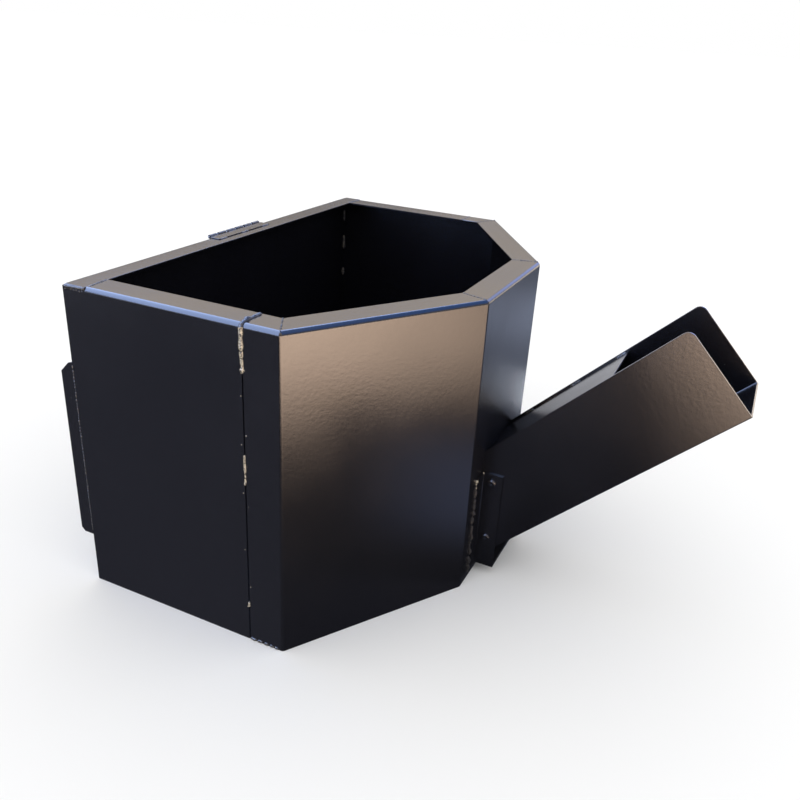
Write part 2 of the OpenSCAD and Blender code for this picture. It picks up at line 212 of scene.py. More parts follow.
# ---------------------------------------------------------------- dimensions
MM = 0.001
T = 2 * MM
FOLD_R = 4 * MM
RIM_W = 27.7 * MM
BACK_RIM_W = 23 * MM
SIDE_L = 213 * MM
FRONT_W = 152.5 * MM
SEAM_GAP = 1 * MM
JOINT_L = 24 * MM
FOLD_STEPS = 10
RIM_EDGE_R = 0.6 * MM
FOOT_EDGE_R = 0.3 * MM
CHUTE_A = math.radians(44.5)
CHUTE_H = 89 * MM
CHUTE_W = 83 * MM
CHUTE_Z = 13 * MM
COVER_DROP = 2 * MM
COVER_L = 233 * MM
PORT_MARGIN = 2 * MM
BOLT_HEIGHTS = (44 * MM, 107 * MM)
BOLT_OUT = 11 * MM
# The right seam's welds, as depths below the rim.
SEAM_TOP_END = 41 * MM
SEAM_LOW_BEAD = (112 * MM, 140 * MM)
SEAM_TACK = (258.5 * MM, 264 * MM)
# Height at which the left seam's bead ends.
SEAM_LEFT_END = 3.2 * MM
back_lo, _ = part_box("back_panel")
shell_lo, shell_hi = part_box("front_shell")
X_BACK, X_FRONT, Y_SIDE, TUB_H = back_lo.x, shell_hi.x, shell_hi.y, shell_hi.z
X_SEAM = shell_lo.x - SEAM_GAP / 2
BRACKET_BEAD_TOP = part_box("bracket_welds")[1].z - 0.5 * MM
UP = (0, 0, 1)
OUT_RIGHT = (0, -1, 0)
PLAN = [
    Vector((X_BACK, -Y_SIDE)),
    Vector((X_BACK + SIDE_L, -Y_SIDE)),
    Vector((X_FRONT, -FRONT_W / 2)),
    Vector((X_FRONT, FRONT_W / 2)),
    Vector((X_BACK + SIDE_L, Y_SIDE)),
    Vector((X_BACK, Y_SIDE)),
]


def inward(i):
    """The inward direction of the wall from corner i to the next."""
    h = (PLAN[(i + 1) % 6] - PLAN[i % 6]).normalized()
    return Vector((-h.y, h.x))


def inset(i, d):
    """Corner i of the plan, moved inwards so that it lies d inside both of its walls."""
    a, b = inward(i - 1), inward(i)
    return PLAN[i] + (a + b) * (d / (1 + a.dot(b)))


# ---------------------------------------------------------------- pieces
SHARP = math.radians(40)


def smooth(mesh):
    for p in mesh.polygons:
        p.use_smooth = True


def add_piece(name, mesh, mat, replaces, body="tub"):
    """An object made from the mesh, smooth, that stands in for some CAD nodes."""
    obj = bpy.data.objects.new(name, mesh)
    scene.collection.objects.link(obj)
    mesh.materials.clear()
    mesh.materials.append(mat)
    smooth(mesh)
    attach(obj, body)
    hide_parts(*replaces)
    return obj


def flat_faces(obj):
    """Keeps the large faces flat in smooth shading."""
    normals = obj.modifiers.new("normals", "WEIGHTED_NORMAL")
    normals.mode = "FACE_AREA"
    normals.weight = 60


def round_edges(obj, width, segments):
    """Rounds the cut edges."""
    bevel = obj.modifiers.new("edges", "BEVEL")
    bevel.width = width
    bevel.segments = segments
    bevel.limit_method = "ANGLE"
    bevel.angle_limit = math.radians(35)
    bevel.use_clamp_overlap = True
    flat_faces(obj)


def refine(node, name, mat, width=0.45 * MM, body="tub", segments=3):
    """A CAD node's mesh, cleaned, with its cut edges rounded."""
    bm = bmesh.new()
    bm.from_mesh(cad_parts[node].data)
    bmesh.ops.remove_doubles(bm, verts=bm.verts, dist=2e-6)
    flat = math.radians(0.6)
    bmesh.ops.dissolve_limit(bm, angle_limit=flat, verts=bm.verts, edges=bm.edges)
    mesh = bpy.data.meshes.new(name)
    bm.to_mesh(mesh)
    bm.free()
    obj = add_piece(name, mesh, mat, (node,), body)
    round_edges(obj, width, segments)


def grid_mesh(name, columns):
    """Closed rings of points, joined one after another, with an end face on each end."""
    n = len(columns[0])
    verts = [p for col in columns for p in col]
    faces = []
    for j in range(len(columns) - 1):
        for k in range(n):
            a, b = j * n + k, j * n + (k + 1) % n
            faces.append((a, b, b + n, a + n))
    faces.append(tuple(range(n - 1, -1, -1)))
    last = (len(columns) - 1) * n
    faces.append(tuple(last + k for k in range(n)))
    mesh = bpy.data.meshes.new(name)
    mesh.from_pydata([tuple(p) for p in verts], [], faces)
    bm = bmesh.new()
    bm.from_mesh(mesh)
    bmesh.ops.remove_doubles(bm, verts=bm.verts, dist=1e-6)
    bmesh.ops.dissolve_degenerate(bm, dist=1e-7, edges=bm.edges)
    bmesh.ops.recalc_face_normals(bm, faces=bm.faces)
    bm.to_mesh(mesh)
    bm.free()
    return mesh


def arc(cx, cy, r, start, end, steps):
    """Points on an arc between two angles in degrees."""
    out = []
    for k in range(steps + 1):
        a = math.radians(start + (end - start) * k / steps)
        out.append((cx + r * math.cos(a), cy + r * math.sin(a)))
    return out


def wall_section():
    """The wall and its rim as (distance inside the outer face, height), edges rounded."""
    z = TUB_H - FOLD_R
    e, foot = RIM_EDGE_R, FOOT_EDGE_R
    pts = arc(foot, foot, foot, 270, 180, 3)
    pts += arc(FOLD_R, z, FOLD_R, 180, 90, FOLD_STEPS)
    pts += arc(RIM_W - e, TUB_H - e, e, 90, 0, 4)
    pts += arc(RIM_W - e, TUB_H - T + e, e, 0, -90, 4)
    pts += arc(FOLD_R, z, FOLD_R - T, 90, 180, FOLD_STEPS)
    pts += arc(T - foot, foot, foot, 0, -90, 3)
    return pts


def unit(v):
    """The vector, or each row of vectors, scaled to a length of 1."""
    return v / (np.linalg.norm(v, axis=-1, keepdims=True) + 1e-12)


def shrink(section, d):
    """The section moved inwards by d all round."""
    pts = np.array(section)
    before, after = np.roll(pts, 1, 0), np.roll(pts, -1, 0)
    out = []
    for p, a, b in zip(pts, before, after):
        t = (unit(p - a) + unit(b - p)) / 2
        out.append(p + d * np.array([t[1], -t[0]]))
    return out


def make_front_shell():
    """The folded front half of the tub, swept round its four corners."""
    section = wall_section()

    def straight(x, y_sign, pts):
        return [(x, y_sign * (Y_SIDE - d), z) for d, z in pts]

    def corner(i, k, pts):
        a, b = -inward(i - 1), -inward(i)
        start, end = math.atan2(a.y, a.x), math.atan2(b.y, b.x)
        if end < start:
            end += 2 * math.pi
        ang = start + (end - start) * k / FOLD_STEPS
        out = []
        for d, z in pts:
            if d < FOLD_R:
                c = inset(i, FOLD_R)
                r = FOLD_R - d
                out.append((c.x + r * math.cos(ang), c.y + r * math.sin(ang), z))
            else:
                c = inset(i, d)
                out.append((c.x, c.y, z))
        return out

    def rounded_end(y_sign):
        """The end of the sheet at the seam, from its cut face inwards."""
        x, e = X_SEAM + SEAM_GAP / 2, 0.5 * MM
        return [straight(x, y_sign, shrink(section, e)),
                straight(x + 0.3 * e, y_sign, shrink(section, 0.3 * e)),
                straight(x + e, y_sign, section)]

    columns = rounded_end(-1)
    for i in (1, 2, 3, 4):
        columns += [corner(i, k, section) for k in range(FOLD_STEPS + 1)]
    columns += rounded_end(1)[::-1]
    mesh = grid_mesh("shell_front", columns)
    obj = add_piece("shell_front", mesh, PAINT, ("front_shell",))
    cut_port(obj)
    flat_faces(obj)


def wall_z(above):
    """Height at which a line at that distance above the chute's underside meets the wall."""
    return CHUTE_Z + above / math.cos(CHUTE_A)


def cut_port(obj):
    """Opens the port into the chute, by splitting the front faces round it."""
    half = CHUTE_W / 2 - T - PORT_MARGIN
    low = wall_z(T) + PORT_MARGIN
    high = wall_z(CHUTE_H - COVER_DROP - T) - PORT_MARGIN

    def on_front(face):
        c = face.calc_center_median()
        return abs(face.normal.x) > 0.99 and c.x > X_FRONT - 1.5 * T and abs(c.y) < FRONT_W / 2

    def in_port(face):
        c = face.calc_center_median()
        return on_front(face) and abs(c.y) < half and low < c.z < high

    bm = bmesh.new()
    bm.from_mesh(obj.data)
    for co, no in (
        ((0, -half, 0), (0, 1, 0)),
        ((0, half, 0), (0, 1, 0)),
        ((0, 0, low), (0, 0, 1)),
        ((0, 0, high), (0, 0, 1)),
    ):
        faces = [f for f in bm.faces if on_front(f)]
        edges = {e for f in faces for e in f.edges}
        verts = {v for f in faces for v in f.verts}
        geom = faces + list(edges) + list(verts)
        bmesh.ops.bisect_plane(bm, geom=geom, plane_co=co, plane_no=no, dist=1e-7)
    hole = [f for f in bm.faces if in_port(f)]
    rims = [e for f in hole for e in f.edges if sum(g in hole for g in e.link_faces) == 1]
    outer = [e for e in rims if e.verts[0].co.x > X_FRONT - T / 2]
    inner = [e for e in rims if e not in outer]
    bmesh.ops.delete(bm, geom=hole, context="FACES_ONLY")
    bmesh.ops.bridge_loops(bm, edges=outer + inner)
    bmesh.ops.recalc_face_normals(bm, faces=bm.faces)
    bm.to_mesh(obj.data)
    bm.free()
    smooth(obj.data)


# ---------------------------------------------------------------- welds
def rings_mesh(name, groups):
    """One mesh from several closed tubes, each a list of rings."""
    bm = bmesh.new()
    for rings in groups:
        rows = [[bm.verts.new(p) for p in ring] for ring in rings]
        n = len(rows[0])
        for a, b in zip(rows, rows[1:]):
            for k in range(n):
                bm.faces.new((a[k], a[(k + 1) % n], b[(k + 1) % n], b[k]))
        bm.faces.new(rows[0][::-1])
        bm.faces.new(rows[-1])
    bmesh.ops.recalc_face_normals(bm, faces=bm.faces)
    mesh = bpy.data.meshes.new(name)
    bm.to_mesh(mesh)
    bm.free()
    return mesh


BEAD_STEP = 0.35 * MM
BEAD_SIDES = 14


def bead(path, normals, width, height, rng, pitch=1.4 * MM, rough=0.18, sink=0.35, wander=0.12):
    """A rippled weld bead: rings along a path that lies on a surface with those normals.

    pitch is the ripples' spacing, rough the unevenness, wander the sideways drift, and sink the
    share of the height that goes below the surface.
    """
    path = [np.array(p, float) for p in path]
    normals = [np.array(p, float) for p in normals]
    pts, nrm = [], []
    for (p, q), (n, o) in zip(zip(path, path[1:]), zip(normals, normals[1:])):
        count = max(1, int(round(np.linalg.norm(q - p) / BEAD_STEP)))
        for k in range(count):
            t = k / count
            pts.append(p + (q - p) * t)
            nrm.append(n + (o - n) * t)
    pts.append(path[-1])
    nrm.append(normals[-1])
    pts, nrm = np.array(pts), unit(np.array(nrm))
    side = unit(np.cross(nrm, unit(np.gradient(pts, axis=0))))
    s = np.concatenate([[0], np.cumsum(np.linalg.norm(np.diff(pts, axis=0), axis=1))])
    total = s[-1]

    def smooth_noise(spacing):
        count = max(3, int(total / spacing))
        return np.interp(s, np.linspace(0, total, count), rng.normal(0, 1, count))

    phase = rng.uniform(0, 1)
    slow = smooth_noise(3 * MM)
    drift = smooth_noise(5 * MM)
    ripple = 1 - 0.22 * ((s / pitch + phase + 0.12 * slow) % 1.0) ** 2.2
    end = np.minimum(s, total - s) / (0.9 * width)
    taper = np.sqrt(np.clip(1 - (1 - np.clip(end, 0, 1)) ** 2, 0.02, 1))
    rings = []
    for k in range(len(pts)):
        w = 0.5 * width * taper[k] * (1 + rough * 0.5 * slow[k]) * (0.94 + 0.06 * ripple[k])
        h = height * taper[k] * (1 + rough * slow[k]) * ripple[k]
        c = pts[k] + side[k] * wander * width * 0.5 * drift[k]
        ring = []
        for a in range(BEAD_SIDES):
            t = 2 * math.pi * a / BEAD_SIDES
            lump = 1 + rough * 0.35 * rng.normal()
            up = math.sin(t)
            up = h * up * lump if up > 0 else sink * height * up
            across = w * math.cos(t) * (1 + rough * 0.1 * rng.normal())
            ring.append(c + side[k] * across + nrm[k] * up)
        rings.append(ring)
    return rings


def straight_bead(p, q, normal, width, height, rng, **shape):
    """A bead from p to q with one normal."""
    return bead([p, q], [normal, normal], width, height, rng, **shape)


def blob(centre, normal, r, rng, flat=0.7):
    """A droplet of weld spatter or a tack, as rings."""
    n = unit(np.array(normal, float))
    ref = (0, 0, 1.0) if abs(n[2]) < 0.9 else (1.0, 0, 0)
    u = unit(np.cross(n, ref))
    v = np.cross(n, u)
    rings = []
    for lat in (-0.5, -0.15, 0.2, 0.5, 0.75, 0.92, 0.995):
        rr = r * math.sqrt(1 - lat * lat)
        wob = 1 + 0.1 * rng.normal()
        rings.append([
            np.array(centre) + n * (r * flat * lat)
            + rr * wob * (u * math.cos(t) + v * math.sin(t))
            for t in np.linspace(0, 2 * math.pi, 11)[:-1]
        ])
    return rings


def weld_piece(name, groups, replaces, mat=WELD):
    return add_piece(name, rings_mesh(name, groups), mat, replaces)


def mirrored(groups):
    """The same tubes on the left side of the object."""
    return [[[np.array((p[0], -p[1], p[2])) for p in ring] for ring in rings] for rings in groups]


def seam_top_path(depth):
    """Points and normals over the right rim, round its fold and down to a depth."""
    x, y = X_SEAM, -Y_SIDE
    path = [(x, y + RIM_W - 0.6 * MM, TUB_H), (x, y + FOLD_R, TUB_H)]
    normals = [UP, UP]
    steps = 8
    for k in range(1, steps + 1):
        a = math.radians(90 + 90 * k / steps)
        path.append((x, y + FOLD_R + FOLD_R * math.cos(a), TUB_H - FOLD_R + FOLD_R * math.sin(a)))
        normals.append((0, math.cos(a), math.sin(a)))
    path.append((x, y, TUB_H - depth))
    normals.append((0, -1, 0))
    return path, normals


# Spatter beside the right seam: height, shift along the wall and radius, in mm.
SEAM_SPATTER = (
    (262, 2.4, 0.5), (240, -1.8, 0.4), (206, 2.2, 0.55), (197, -2.6, 0.4), (178, 2.1, 0.45),
    (152, -2.3, 0.5), (140, 2.8, 0.4), (96, -2.4, 0.4), (58, 2.3, 0.45), (36, -1.2, 0.6),
)


def right_seam_beads(rng):
    """A thick bead at the top, a fine one lower down, a tack and spatter."""
    x, y = X_SEAM, -Y_SIDE
    groups = [bead(*seam_top_path(SEAM_TOP_END), 3.9 * MM, 1.9 * MM, rng, rough=0.34, sink=0.8)]
    for (top, bottom), width, height in ((SEAM_LOW_BEAD, 2.3 * MM, 1.0 * MM),
                                         (SEAM_TACK, 2.6 * MM, 1.1 * MM)):
        groups.append(straight_bead((x, y, TUB_H - top), (x, y, TUB_H - bottom), OUT_RIGHT,
                                    width, height, rng, rough=0.3, sink=0.9))
    for z, dx, r in SEAM_SPATTER:
        groups.append(blob((x + dx * MM, y, z * MM), OUT_RIGHT, r * MM, rng))
    return groups


def left_seam_beads(rng):
    """One low, fine bead over the rim and down the whole side."""
    path, normals = seam_top_path(TUB_H - SEAM_LEFT_END)
    return mirrored([bead(path, normals, 1.9 * MM, 0.45 * MM, rng, rough=0.15, sink=0.9)])


def seam_root():
    """The left seam's root, which is flush with the inside of the tub."""
    half = 1.05 * MM
    x0, x1 = X_SEAM - half, X_SEAM + half
    y0, y1 = Y_SIDE - T - 0.02 * MM, Y_SIDE - 0.3 * MM
    ring = [(x0, y0), (x1, y0), (x1, y1), (x0, y1)]
    return [[[(*p, z) for p in ring] for z in (SEAM_LEFT_END, TUB_H - T)]]


def rim_corner_beads(rng):
    """Dots along the front shell's mitres.

    At the rear corners, stitches across the rim, a bead on the fold and spatter below it.
    """
    groups = []
    for i in (1, 2, 3, 4):
        a, b = inset(i, RIM_W - 1.5 * MM), inset(i, FOLD_R - 0.5 * MM)
        count = 11 if i in (2, 3) else 7
        for k in range(count):
            p = a + (b - a) * ((k + 0.25 * rng.uniform(-1, 1)) / (count - 1))
            r = rng.uniform(0.5, 0.85) * MM
            groups.append(blob((p.x, p.y, TUB_H), UP, r, rng, 0.95))
            if k % 3 == 0:
                q = p + (b - a).normalized() * (1.1 * MM)
                groups.append(blob((q.x, q.y, TUB_H), UP, r * 0.8, rng, 0.8))
    side = []
    x0, y0 = X_BACK, -Y_SIDE
    a = Vector((x0 + BACK_RIM_W - 0.3 * MM, y0 + RIM_W - 1 * MM))
    b = Vector((x0 + JOINT_L + 1.3 * MM, y0 + FOLD_R))
    way = b - a
    stitches = 8
    for k in range(stitches):
        p, q = a + way * ((k + 0.1) / stitches), a + way * ((k + 0.72) / stitches)
        side.append(straight_bead((p.x, p.y, TUB_H), (q.x, q.y, TUB_H), UP, 2.0 * MM, 0.9 * MM, rng,
                                  pitch=1.0 * MM, sink=0.6))
    y, z = y0 + 0.2 * MM, TUB_H - 1.6 * MM
    side.append(straight_bead((x0 + 1.5 * MM, y, z), (x0 + JOINT_L, y, z), (0, -0.8, 0.6), 3.0 * MM,
                              1.5 * MM, rng, pitch=1.8 * MM, rough=0.32, sink=0.7))
    for k in range(7):
        drop = 3.4 + rng.uniform(0, 1.4)
        r = rng.uniform(0.5, 1.0) * MM
        side.append(blob((x0 + (3 + 3.1 * k) * MM, y0, TUB_H - drop * MM), OUT_RIGHT, r, rng))
    return groups + side + mirrored(side)


# Tacks up the inside of a rear corner: height of the upper end and length, in mm.
CORNER_TACKS = ((284, 14), (250, 18), (206, 10), (140, 16), (70, 16))


def inner_corner_beads(rng):
    """Tacks up the inside of the rear corners."""
    side = []
    c = (X_BACK + T + 0.35 * MM, -Y_SIDE + T + 0.35 * MM)
    for top, length in CORNER_TACKS:
        side.append(straight_bead((*c, top * MM), (*c, (top - length) * MM), (0.7, 0.7, 0), 4.2 * MM,
                                  1.6 * MM, rng, pitch=2.0 * MM, rough=0.28))
    return side + mirrored(side)


def floor_beads(rng):
    """Stitches inside the floor's edges, and a broken bead low on the front shell's sides."""
    groups = []
    tilt = 0.7
    for i in range(6):
        a, b = PLAN[i], PLAN[(i + 1) % 6]
        nn = inward(i)
        shares = (0.5,) if i == 2 else (0.25, 0.75)
        for s in shares:
            mid = a + (b - a) * s + nn * (T + 0.5 * MM)
            half = (b - a).normalized() * (15 * MM)
            p, q = mid - half, mid + half
            z = T + 0.5 * MM
            normal = (nn.x * tilt, nn.y * tilt, tilt)
            groups.append(straight_bead((p.x, p.y, z), (q.x, q.y, z), normal, 5 * MM, 2.0 * MM, rng,
                                        pitch=2.2 * MM, rough=0.2))
    side = []
    x, y, z = X_SEAM + 1 * MM, -Y_SIDE, 1.6 * MM
    end = X_BACK + SIDE_L - FOLD_R
    while x < end - 2 * MM:
        length = min(rng.uniform(3.5, 7) * MM, end - x)
        side.append(straight_bead((x, y, z), (x + length, y, z), (0, -0.9, -0.2), 2.4 * MM, 1.1 * MM,
                                  rng, pitch=1.2 * MM, rough=0.35, sink=0.9))
        x += length + rng.uniform(0.2, 1.0) * MM
    return groups + side + mirrored(side)


def ear_beads(rng):
    """Fine, broken beads down the ears."""
    lo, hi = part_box("ear_right")
    side = []
    x, y, z = X_BACK, -Y_SIDE, hi.z - 3 * MM
    while z > lo.z + 4 * MM:
        length = rng.uniform(1.2, 3.2) * MM
        width = rng.uniform(1.3, 1.9) * MM
        side.append(straight_bead((x, y, z), (x, y, z - length), OUT_RIGHT, width, 0.7 * MM, rng,
                                  pitch=1.0 * MM, sink=0.8))
        z -= length + rng.uniform(0.5, 1.6) * MM
    return side + mirrored(side)


def on_chute(along, y, above):
    """A point given by its distance along the chute from the wall, and above its underside."""
    c, s = math.cos(CHUTE_A), math.sin(CHUTE_A)
    return (X_FRONT + along * c - above * s, y, CHUTE_Z + along * s + above * c)


def cover_beads(rng):
    """Short beads along the cover's edges."""
    y = -(CHUTE_W / 2 - T) + 0.4 * MM
    top = CHUTE_H - COVER_DROP + 0.3 * MM
    c, s = math.cos(CHUTE_A), math.sin(CHUTE_A)
    n = (-s * 0.7, 0.7, c * 0.7)
    side = []
    length = 12 * MM
    for start in (105 * MM, 165 * MM, COVER_L - 14 * MM):
        side.append(straight_bead(on_chute(start, y, top), on_chute(start + length, y, top), n,
                                  3.2 * MM, 1.2 * MM, rng, pitch=1.7 * MM))
    return side + mirrored(side)


def bracket_beads(rng):
    """An uneven bead down each bracket, in lengths that nearly meet, with spatter on the wall."""
    lo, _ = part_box("chute_bracket_right")
    side = []
    x, y, z = X_FRONT + 0.3 * MM, lo.y - 0.8 * MM, BRACKET_BEAD_TOP
    while z > 10 * MM:
        length = min(rng.uniform(5, 14) * MM, z - 4.5 * MM)
        width = rng.uniform(3.0, 4.4) * MM
        side.append(straight_bead((x, y, z), (x, y, z - length), (0.9, -0.44, 0), width, 1.3 * MM, rng,
                                  pitch=2.0 * MM, rough=0.5, wander=0.3))
        z -= length + rng.uniform(-0.4, 0.9) * MM
    spatter_top = 112
    for k in range(20):
        z = rng.uniform(8, spatter_top)
        if z > 60 and k % 3:
            z = rng.uniform(88, spatter_top)
        aside = rng.uniform(2.2, 6.5) * MM
        r = rng.uniform(0.35, 0.95) * MM
        side.append(blob((X_FRONT, lo.y - aside, z * MM), (1, 0, 0), r, rng))
    return side + mirrored(side)


def bracket_glints(rng):
    """Lumps at the upper end of each bracket's bead and one on the corner of its bend, in cream:
    painted glints.
    """
    lo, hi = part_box("chute_bracket_right")
    side = []
    for dy, dz, r in ((-1.2, -1.5, 1.5), (-2.6, -3.8, 0.8), (-0.9, -9.0, 0.7)):
        centre = (X_FRONT + 0.6 * MM, lo.y + dy * MM, BRACKET_BEAD_TOP + dz * MM)
        side.append(blob(centre, (0.8, -0.6, 0), r * MM, rng, 0.9))
    centre = (X_FRONT + 1.8 * MM, hi.y - T - 0.2 * MM, hi.z - 0.7 * MM)
    side.append(blob(centre, (0.4, -0.9, 0.3), 0.9 * MM, rng, 0.9))
    return side + mirrored(side)


def hinge_beads(rng):
    """Three short beads along the front edge of the fixed leaf."""
    _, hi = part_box("hinge_fixed_leaf")
    x, z = hi.x + 0.2 * MM, TUB_H + 0.2 * MM
    groups = []
    for y in (-37, 0, 37):
        groups.append(straight_bead((x, (y - 6) * MM, z), (x, (y + 6) * MM, z), (0.7, 0, 0.7), 2.0 * MM,
                                    0.8 * MM, rng, pitch=1.2 * MM))
    return groups


def hexagon(radius, angle):
    """Distance from the centre to the edge of a hexagon whose corners lie at that radius."""
    return radius * math.cos(math.pi / 6) / math.cos(angle % (math.pi / 3) - math.pi / 6)


def make_bolts():
    """Four button-head bolts, each a lathed profile with a hexagonal socket.

    The profile runs from the shank's end to the socket's floor, as (radius, distance towards the
    chute from the head's underside, whether the ring is a hexagon).
    """
    lo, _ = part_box("chute_bolts")
    length, shank_r = 10.5 * MM, 2.48 * MM
    head_r, head_h, bulge = 4.7 * MM, 2.7 * MM, 3.2
    profile = [(2.1 * MM, length, False), (shank_r, length - 0.4 * MM, False), (shank_r, 0, False),
               (4.5 * MM, 0, False), (4.66 * MM, -0.04 * MM, False)]
    for k in range(12):
        r = head_r + (2.45 * MM - head_r) * (k / 11) ** 1.6
        dome = (1 - (r / head_r) ** bulge) ** (1 / bulge)
        profile.append((r, -0.1 * MM - (head_h - 0.15 * MM) * dome, False))
    top = profile[-1][1] - 0.03 * MM
    profile += [(2.2 * MM, top, False), (1.95 * MM, top + 0.02 * MM, True),
                (1.75 * MM, top + 0.25 * MM, True), (1.72 * MM, -1.15 * MM, True),
                (0.5 * MM, -0.95 * MM, True)]
    x, y, sides = X_FRONT + BOLT_OUT, lo.y + head_h + 0.05 * MM, 48
    groups = []
    for z in BOLT_HEIGHTS:
        rings = []
        for r, w, is_hex in profile:
            ring = []
            for k in range(sides):
                a = 2 * math.pi * k / sides
                rr = hexagon(r, a) if is_hex else r
                ring.append((x + rr * math.cos(a), y + w, z - rr * math.sin(a)))
            rings.append(ring)
        groups.append(rings)
    mesh = rings_mesh("button_bolts", groups + mirrored(groups))
    obj = add_piece("button_bolts", mesh, PAINT, ("chute_bolts",))
    obj.data.set_sharp_from_angle(angle=SHARP)


def make_welds():
    """Every bead, from one generator, so their order here fixes their shapes."""
    rng = np.random.default_rng(7)
    weld_piece("seam_bead_right", right_seam_beads(rng), ("seam_weld_right",), SEAM_WELD)
    weld_piece("seam_bead_left", left_seam_beads(rng), ("seam_weld_left",), PAINT)
    root = weld_piece("seam_root_left", seam_root(), ("seam_weld_left",), PAINT)
    root.data.set_sharp_from_angle(angle=SHARP)
    weld_piece("rim_beads", rim_corner_beads(rng), ("rim_corner_welds",))
    weld_piece("inner_corner_beads", inner_corner_beads(rng), ("back_corner_welds",))
    weld_piece("floor_beads", floor_beads(rng), ("floor_welds",))
    weld_piece("ear_beads", ear_beads(rng), ("ear_welds",))
    weld_piece("cover_beads", cover_beads(rng), ("cover_welds",))
    weld_piece("bracket_beads", bracket_beads(rng), ("bracket_welds",), DULL_WELD)
    weld_piece("bracket_glints", bracket_glints(rng), ("bracket_welds",), GLINT_WELD)
    weld_piece("hinge_beads", hinge_beads(rng), ("hinge_welds",))


# ---------------------------------------------------------------- the object
make_front_shell()
for node, piece in (
    ("side_panel_right", "panel_right"),
    ("side_panel_left", "panel_left"),
    ("back_panel", "panel_back"),
    ("ear_right", "ear_plate_right"),
    ("ear_left", "ear_plate_left"),
    ("chute_trough", "chute_body"),
    ("chute_cover", "chute_lid"),
    ("chute_bracket_right", "bracket_right"),
    ("chute_bracket_left", "bracket_left"),
    ("chute_bracket_plate", "bracket_plate"),
):
    refine(node, piece, PAINT)
make_bolts()
refine("hinge_fixed_leaf", "leaf_fixed", PAINT, 0.25 * MM, segments=2)
refine("hinge_loose_leaf", "leaf_loose", PAINT, 0.25 * MM, body="hinge_leaf", segments=2)
refine("chute_washers", "washers", ZINC, 0.15 * MM, segments=2)
refine("chute_nuts", "nuts", ZINC, 0.3 * MM, segments=2)
refine("hinge_pin", "pin", STEEL, 0.25 * MM, segments=2)
make_welds()
floor_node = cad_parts["floor_plate"]
floor_node.data.materials.clear()
floor_node.data.materials.append(PAINT)

# ---------------------------------------------------------------- stage
# The camera stands at the near side, above the rim.
CAM_POS = Vector((0.3609, -0.7042, 0.5044))
CAM_YAW, CAM_PITCH, CAM_ROLL = (math.radians(a) for a in (114.047, 24.723, 3.405))
CAM_LENS = 36.113


def make_camera():
    """The photograph's camera, from its yaw, downward pitch and roll."""
    cy, sy = math.cos(CAM_YAW), math.sin(CAM_YAW)
    cp, sp = math.cos(CAM_PITCH), math.sin(CAM_PITCH)
    ahead = Vector((cy * cp, sy * cp, -sp))
    level = Vector((sy, -cy, 0))
    upright = level.cross(ahead)
    cr, sr = math.cos(CAM_ROLL), math.sin(CAM_ROLL)
    right = cr * level + sr * upright
    up = -sr * level + cr * upright
    data = bpy.data.cameras.new("camera")
    data.sensor_width = 36
    data.lens = CAM_LENS
    data.clip_start, data.clip_end = 0.02, 100
    cam = bpy.data.objects.new("camera", data)
    scene.collection.objects.link(cam)
    turn = Matrix((right, up, -ahead)).transposed()
    cam.matrix_world = Matrix.Translation(CAM_POS) @ turn.to_4x4()
    scene.camera = cam


def rectangle(x0, y0, x1, y1, z):
    return [(x0, y0, z), (x1, y0, z), (x1, y1, z), (x0, y1, z)]


def plane(name, corners, mat):
    """A flat face that belongs to the stage."""
    mesh = bpy.data.meshes.new(name)
    mesh.from_pydata([Vector(c) for c in corners], [], [tuple(range(len(corners)))])
    obj = bpy.data.objects.new(name, mesh)
    obj.data.materials.append(mat)
    scene.collection.objects.link(obj)
    return obj


def make_floor():
    """A wide near-white floor that reflections don't see."""
    m = Nodes("floor")
    m.bsdf.inputs["Specular IOR Level"].default_value = 0
    m.bsdf.inputs["Roughness"].default_value = 0.9
    fine = m.noise(3, 3, 0.5)
    m.link(m.mix(fine, (0.865, 0.865, 0.87), (0.885, 0.885, 0.885)), m.bsdf.inputs["Base Color"])
    reach = 90
    floor = plane("floor", rectangle(-reach, -reach, reach, reach, 0), m.mat)
    floor.visible_glossy = False
    floor.visible_shadow = False


def glow_card(name, corners, colour, level, fades=()):
    """A card on the floor that only reflections see.

    Each fade is (direction, start, end, share at the start, share at the end).
    """
    mat = bpy.data.materials.new(name)
    mat.use_nodes = True
    t = Tree(mat.node_tree)
    t.tree.nodes.clear()
    out = t.node("ShaderNodeOutputMaterial")
    emit = t.node("ShaderNodeEmission")
    t.link(emit.outputs[0], out.inputs["Surface"])
    emit.inputs["Color"].default_value = (*colour, 1)
    position = t.node("ShaderNodeNewGeometry").outputs["Position"]
    strength = t.math("MULTIPLY", 1.0, level)
    for direction, *limits in fades:
        dot = t.node("ShaderNodeVectorMath")
        dot.operation = "DOT_PRODUCT"
        dot.inputs[1].default_value = direction
        t.link(position, dot.inputs[0])
        strength = t.product(t.ramp(dot.outputs["Value"], *limits), strength)
    t.link(strength, emit.inputs["Strength"])
    card = plane(name, corners, mat)
    card.visible_camera = card.visible_diffuse = card.visible_shadow = False
    card.visible_transmission = False


def make_key_light():
    """A broad, weak light overhead."""
    pos, target = Vector((0.6, -0.4, 3.2)), Vector((0, 0, 0.1))
    width, radiance = 3.0, 0.2
    data = bpy.data.lights.new("key", "AREA")
    data.shape = "RECTANGLE"
    data.size = data.size_y = width
    data.energy = radiance * 4 * width * width
    obj = bpy.data.objects.new("key", data)
    scene.collection.objects.link(obj)
    obj.location = pos
    obj.rotation_mode = "QUATERNION"
    obj.rotation_quaternion = (target - pos).to_track_quat("-Z", "Y")
    obj.visible_camera = False


